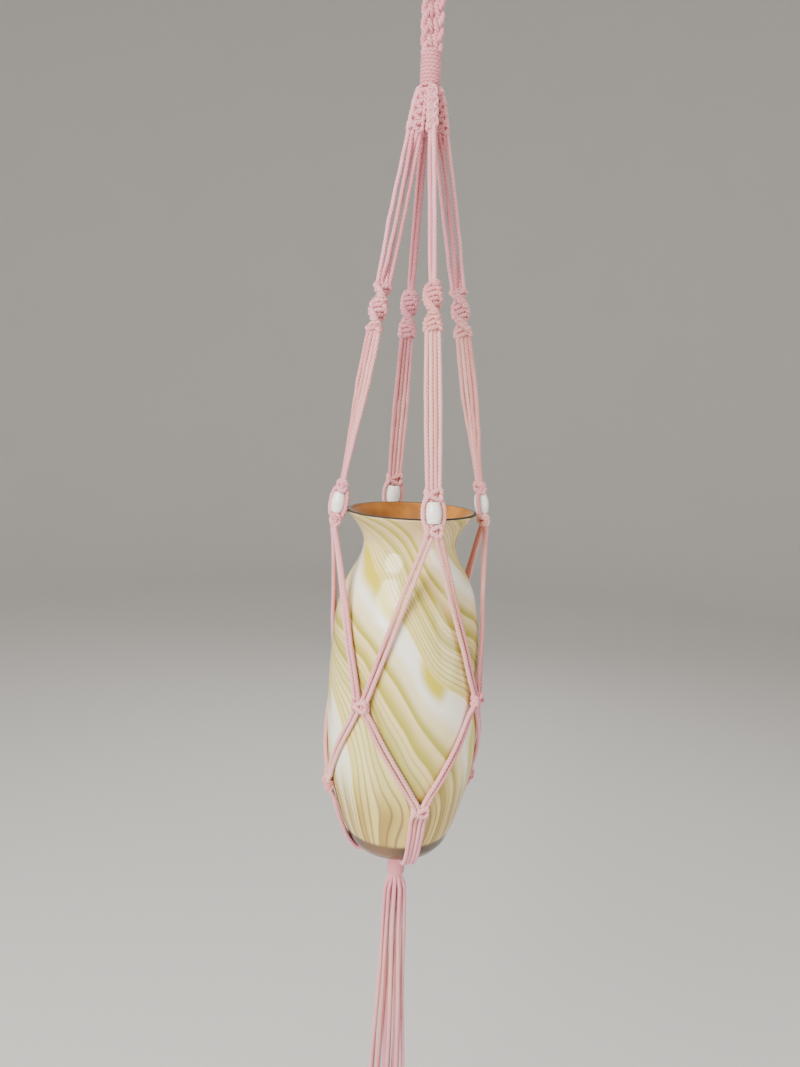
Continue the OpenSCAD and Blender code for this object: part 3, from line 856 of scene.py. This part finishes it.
def bead_cords(n, place):
    """Two cords through the bead and two that bow round it."""
    middle_at = (BEAD[0] + BEAD[1]) / 2
    half = (BEAD[1] - BEAD[0]) / 2
    out = BEAD_R + 0.35 * MM + CORD_R
    edge = out - 0.7 * MM
    routes = []
    for side in (-1, 1):
        reach = half + 2 * MM
        routes.append([(side * BORE_CORD_X, 0, -middle_at + u * reach) for u in (1, 0.5, 0, -0.5, -1)])
        bow = ((4.3 * MM, half + 2.6 * MM), (5.6 * MM, half + 1.1 * MM), (edge, half - 0.6 * MM),
               (out, half * 0.5), (out + 0.1 * MM, 0))
        upper = [(side * x, 0, -middle_at + z) for x, z in bow]
        lower = [(side * x, 0, -middle_at - z) for x, z in reversed(bow[:-1])]
        routes.append(upper + lower)
    turned = place @ turn_z(BEAD_CORD_TURN[n])
    cords = [sweep(moved(route, turned), BEAD_CORD_R) for route in routes]
    cord_piece(f"bead_cords_{n}", cords, "cotton_cord", f"arm_{n}", f"bead_cords_{n}")


# ---------------------------------------------------------------- beads and vase


def lathe(name, outline, sides, slot, place=np.eye(4), close=True):
    """A turned solid round Z from (radius, height) points: a closed outline, or an open one with caps."""
    outline = np.asarray(outline, float)
    angle = np.arange(sides) * 2 * math.pi / sides
    count = len(outline)
    x = outline[:, 0][:, None] * np.cos(angle)
    y = outline[:, 0][:, None] * np.sin(angle)
    z = np.repeat(outline[:, 1][:, None], sides, axis=1)
    points = moved(np.stack([x, y, z], axis=2).reshape(-1, 3), place)
    rows = np.arange(count if close else count - 1)
    i, j = np.meshgrid(rows, np.arange(sides), indexing="ij")
    a, b = i * sides + j, i * sides + (j + 1) % sides
    c, d = (i + 1) % count * sides + (j + 1) % sides, (i + 1) % count * sides + j
    quads = np.stack([a, b, c, d], axis=2).reshape(-1, 4)
    mesh = bpy.data.meshes.new(name)
    triangles = np.empty((0, 3), int)
    if not close:
        tips = np.array([[0, 0, outline[0][1]], [0, 0, outline[-1][1]]])
        points = np.vstack([points, moved(tips, place)])
        j = np.arange(sides)
        k = (j + 1) % sides
        last = (count - 1) * sides
        triangles = np.vstack([
            np.stack([np.full(sides, count * sides), k, j], axis=1),
            np.stack([np.full(sides, count * sides + 1), last + j, last + k], axis=1),
        ])
    fill_mesh(mesh, points, quads, triangles)
    return link(name, mesh, slot)


BEAD_SIDES = 64
BEAD_BORE_R = 3.1 * MM
BEAD_CROWN = 1.05 * MM
BEAD_EASE = 0.55 * MM


def make_bead(n, place):
    """Barrel bead: crowned side, flat ends with eased edges, and a bore."""
    half = (BEAD[1] - BEAD[0]) / 2
    end_r = BEAD_R - BEAD_CROWN
    ease = BEAD_EASE
    side = [(end_r + (BEAD_R - end_r) * (1 - u * u), u * (half - ease)) for u in np.linspace(-1, 1, 15)]
    upper = [(end_r - ease * (1 - math.cos(a)), half - ease + ease * math.sin(a))
             for a in np.radians((25, 50, 75, 90))]
    lower = [(r, -z) for r, z in reversed(upper)]
    bore = [(BEAD_BORE_R + 0.15 * MM, half), (BEAD_BORE_R, half - 0.3 * MM),
            (BEAD_BORE_R, -half + 0.3 * MM), (BEAD_BORE_R + 0.15 * MM, -half)]
    at_bead = place @ np.array(Matrix.Translation((0, 0, -(BEAD[0] + BEAD[1]) / 2)))
    obj = lathe(f"bead_{n}", lower + side + upper + bore, BEAD_SIDES, "bead_white", at_bead)
    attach(obj, f"bead_{n}")
    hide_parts(f"bead_{n}")


VASE_SIDES = 192


def make_vase():
    """Blown glass vase: rounded lip, flared neck, full belly and a heavy foot."""
    floor_z = FOOT_Z + 6 * MM
    heights = np.arange(FOOT_Z + 1.5 * MM, RIM_Z - 0.2 * MM, 1.2 * MM)
    outside = [(vase_r(z), z) for z in heights]
    foot_edge = [(FOOT_R - 2.0 * MM, FOOT_Z), (FOOT_R - 0.7 * MM, FOOT_Z + 0.25 * MM),
                 (FOOT_R - 0.1 * MM, FOOT_Z + 0.8 * MM)]
    underside = [(4 * MM, FOOT_Z + 1.4 * MM), (12 * MM, FOOT_Z + 1.2 * MM), (20 * MM, FOOT_Z + 0.6 * MM),
                 (24 * MM, FOOT_Z)]
    rim_outer = vase_r(RIM_Z)
    rim_inner = np.interp(RIM_Z - 0.01 * MM, VASE_Z, VASE_INNER)
    lip_r = (rim_outer - rim_inner) / 2
    lip = [((rim_outer + rim_inner) / 2 + lip_r * math.cos(a), RIM_Z + 1.3 * MM * math.sin(a))
           for a in np.radians(np.arange(0, 181, 20))]
    inside_z = np.arange(RIM_Z - 0.4 * MM, floor_z + 1 * MM, -1.6 * MM)
    inside = [(np.interp(z, VASE_Z, VASE_INNER), z) for z in inside_z]
    corner_r = inside[-1][0]
    floor = [(corner_r - 1.5 * MM, floor_z + 0.2 * MM), (corner_r - 5 * MM, floor_z), (3 * MM, floor_z)]
    outline = underside + foot_edge + outside + lip + inside + floor
    obj = lathe("vase", outline, VASE_SIDES, "vase_glass", close=False)
    before_lip = len(underside) + len(foot_edge) + len(outside)
    zone = np.interp(np.arange(len(outline)), (before_lip - 1, before_lip + len(lip)), (0, 1))
    drop = np.clip((RIM_Z - np.array(outline)[:, 1]) / (RIM_Z - FOOT_Z), 0, 1)
    for name, rows in (("zone", zone), ("drop", drop)):
        values = np.concatenate([np.repeat(rows, VASE_SIDES), rows[[0, -1]]]).astype(np.float32)
        obj.data.attributes.new(name, "FLOAT", "POINT").data.foreach_set("value", values)
    column = np.arange(VASE_SIDES)
    corners = np.stack([column, column + 1, column + 1, column], axis=1).ravel() / VASE_SIDES
    turn = np.zeros(len(obj.data.loops), np.float32)
    turn[:len(corners) * (len(outline) - 1)] = np.tile(corners, len(outline) - 1)
    obj.data.attributes.new("turn", "FLOAT", "CORNER").data.foreach_set("value", turn)
    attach(obj, "vase")
    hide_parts("vase")


# ---------------------------------------------------------------- net and sling

KNOT_HEIGHT = BEAD_KNOT_LOWER[1] - BEAD_KNOT_LOWER[0]
FIRST_ROW_Z = middle("net_knot_1")[2]
FIRST_ROW_R = float(np.hypot(*middle("net_knot_1")[:2]))
# The net's knots stand off the belly, which comes up to them when the vase is lifted
NET_KNOT_OUT = 0.55 * MM
SECOND_ROW = middle("sling_knot_1")
SECOND_ROW_R = abs(SECOND_ROW[1])
SECOND_ROW_LEAN = math.atan(vase_slope(SECOND_ROW[2]))


def net_route(a, b, aside, steps=12):
    """A taut cord from a to b over the vase, swung aside in the middle of its run."""
    route = []
    for share in np.linspace(0, 1, steps):
        p = a + (b - a) * share
        r = math.hypot(p[0], p[1])
        need = max(r, (clear_r(p[2]) + CORD_R) * min(1, 4 * min(share, 1 - share) + 0.9))
        p = np.array([p[0] * need / r, p[1] * need / r, p[2]])
        swing = math.degrees(aside * math.sin(math.pi * share) / need)
        route.append(moved(p, turn_z(swing)))
    return np.array(route)


def net_cords(start_frame, end_frame, spread=1.0 * MM):
    """Four cords that part from one knot, two to each neighbouring knot of the row below."""
    routes = []
    for side in (-1, 1):
        for lane in (0.5, 1.5):
            a = moved([side * lane * PITCH, 0, 0], start_frame)
            b = moved([-side * (2 - lane) * PITCH, 0, 0], end_frame(side))
            route = net_route(a, b, side * (lane - 1) * spread)
            before = moved([side * lane * PITCH * 0.8, 0, 2.2 * MM], start_frame)
            after = moved([-side * (2 - lane) * PITCH * 0.8, 0, -2.2 * MM], end_frame(side))
            routes.append(np.vstack([[before], route, [after]]))
    return routes


def knot_end(azimuth, radius, height, lean, end):
    """Frame at the upper (1) or lower (-1) end of a net knot."""
    raise_by = np.array(Matrix.Translation((0, 0, end * KNOT_HEIGHT / 2)))
    return station(azimuth, radius, height, lean) @ raise_by


def make_net(n):
    azimuth = 90 * (n - 1)
    start = arm_frame(n) @ np.array(Matrix.Translation((0, 0, -BEAD_KNOT_LOWER[1])))
    routes = net_cords(start, lambda side: knot_end(azimuth + side * 45, FIRST_ROW_R, FIRST_ROW_Z, 0, 1))
    obj = cord_object(f"net_cords_upper_{n}", [sweep(r) for r in routes], "cotton_cord")
    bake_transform(obj)
    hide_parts(f"net_cords_upper_{n}")
    halfway = azimuth + 45
    at_knot = station(halfway, FIRST_ROW_R + NET_KNOT_OUT, FIRST_ROW_Z)
    knot_piece(f"net_knot_{n}", at_knot, KNOT_HEIGHT, "hanger")
    start = knot_end(halfway, FIRST_ROW_R, FIRST_ROW_Z, 0, -1)
    routes = net_cords(start, lambda side: knot_end(
        halfway + side * 45, SECOND_ROW_R, SECOND_ROW[2], SECOND_ROW_LEAN, 1))
    cord_piece(f"net_cords_lower_{n}", [sweep(r) for r in routes], "cotton_cord", "hanger",
               f"net_cords_lower_{n}")
    at_knot = station(azimuth, SECOND_ROW_R, SECOND_ROW[2], SECOND_ROW_LEAN)
    knot_piece(f"sling_knot_{n}", at_knot, KNOT_HEIGHT, "hanger")
    make_sling(n)


def make_sling(n):
    """Four cords from a knot of the lower row, down the vase, under its foot and into the wrapping."""
    azimuth = 90 * (n - 1)
    start = knot_end(azimuth, SECOND_ROW_R, SECOND_ROW[2], SECOND_ROW_LEAN, -1)
    gather_z = bottom("sling_gather")
    away = VASE_GAP + CORD_R
    routes = []
    for k, lane in enumerate((-1.5, -0.5, 0.5, 1.5)):
        side = lane * PITCH
        first = moved([side * 0.85, 0, 2.2 * MM], start)
        knot = moved([side, 0, 0], start)
        begin_z = SECOND_ROW[2] - KNOT_HEIGHT / 2
        local = []
        for share in (0.12, 0.28, 0.44, 0.6, 0.76, 0.92):
            z = begin_z + (FOOT_Z - begin_z) * share
            lean = math.atan(vase_slope(z))
            out, down = away * math.cos(lean), away * math.sin(lean)
            local.append((side * (1 - 0.25 * share), -vase_r(z) - out, z - down))
        in_wrap = 4.2 * MM if k % 2 else 3.0 * MM
        spread = side * 0.6
        local += [
            (side * 0.72, -FOOT_R - away * 0.75, FOOT_Z - away * 0.5),
            (side * 0.7, -FOOT_R + 1.5 * MM, FOOT_Z - away * 1.05),
            (side * 0.68, -FOOT_R * 0.62, FOOT_Z - away - 0.4 * MM),
            (side * 0.62, -9.5 * MM, FOOT_Z - away - 1.6 * MM),
            (spread, -in_wrap - 1.6 * MM, gather_z + 1.2 * MM),
            (spread * 0.85, -in_wrap, gather_z - 2.5 * MM),
            (spread * 0.8, -in_wrap, gather_z - 7 * MM),
        ]
        routes.append(np.vstack([[first, knot], moved(local, turn_z(azimuth))]))
    nodes = [f"sling_cords_{n}"] + (["sling_gather"] if n == 1 else [])
    cord_piece(f"sling_cords_{n}", [sweep(r) for r in routes], "cotton_cord", "hanger", *nodes)


# ---------------------------------------------------------------- stage and light

FLOOR_Z = -1.1
FLOOR_R = 3.0
COVE_R = 2.0
WALL_TOP = 5.0


def make_stage():
    """A pale floor that curves up into a pale wall all round."""
    cove = [(FLOOR_R + COVE_R * math.sin(a), FLOOR_Z + COVE_R * (1 - math.cos(a)))
            for a in np.radians(np.arange(0, 91, 6))]
    outline = np.array([(0.2, FLOOR_Z)] + cove + [(FLOOR_R + COVE_R, WALL_TOP)])
    sides = 96
    angle = np.arange(sides) * 2 * math.pi / sides
    rings = [[(r * math.cos(a), r * math.sin(a), z) for a in angle] for r, z in outline]
    faces = [(i * sides + j, (i + 1) * sides + j, (i + 1) * sides + (j + 1) % sides,
              i * sides + (j + 1) % sides) for i in range(len(outline) - 1) for j in range(sides)]
    mesh = bpy.data.meshes.new("floor")
    mesh.from_pydata([p for ring in rings for p in ring], [], faces + [tuple(range(sides))])
    mesh.polygons.foreach_set("use_smooth", np.ones(len(mesh.polygons), bool))
    mesh.materials.append(plain("floor_paint", (0.70, 0.68, 0.65), 0.75))
    obj = bpy.data.objects.new("floor", mesh)
    bpy.context.scene.collection.objects.link(obj)


def area_light(name, place, target, size, watts, colour):
    data = bpy.data.lights.new(name, "AREA")
    data.shape = "DISK"
    data.size = size
    data.energy = watts
    data.color = colour
    lamp = bpy.data.objects.new(name, data)
    lamp.location = place
    lamp.rotation_euler = (Vector(target) - Vector(place)).to_track_quat("-Z", "Y").to_euler()
    bpy.context.scene.collection.objects.link(lamp)


def make_lights():
    aim = (0, 0, -0.4)
    area_light("key_light", (-1.3, -1.0, 0.35), aim, 1.3, 80, (1.0, 0.985, 0.96))
    area_light("fill_light", (1.4, -1.0, -0.2), aim, 1.4, 20, (1.0, 0.98, 0.97))
    area_light("back_light", (0.5, 1.5, 0.3), aim, 1.2, 8, (1.0, 0.98, 0.96))
    world = bpy.data.worlds.new("studio")
    world.use_nodes = True
    sky = world.node_tree.nodes["Background"]
    sky.inputs["Color"].default_value = (0.72, 0.71, 0.69, 1)
    sky.inputs["Strength"].default_value = 0.7
    bpy.context.scene.world = world


# ---------------------------------------------------------------- the planter

make_camera()
make_tassel()
make_loop()
make_wraps()
for arm in ARMS:
    crown_sennit(arm)
    make_arm(arm)
    make_net(arm)
make_vase()
make_stage()
make_lights()
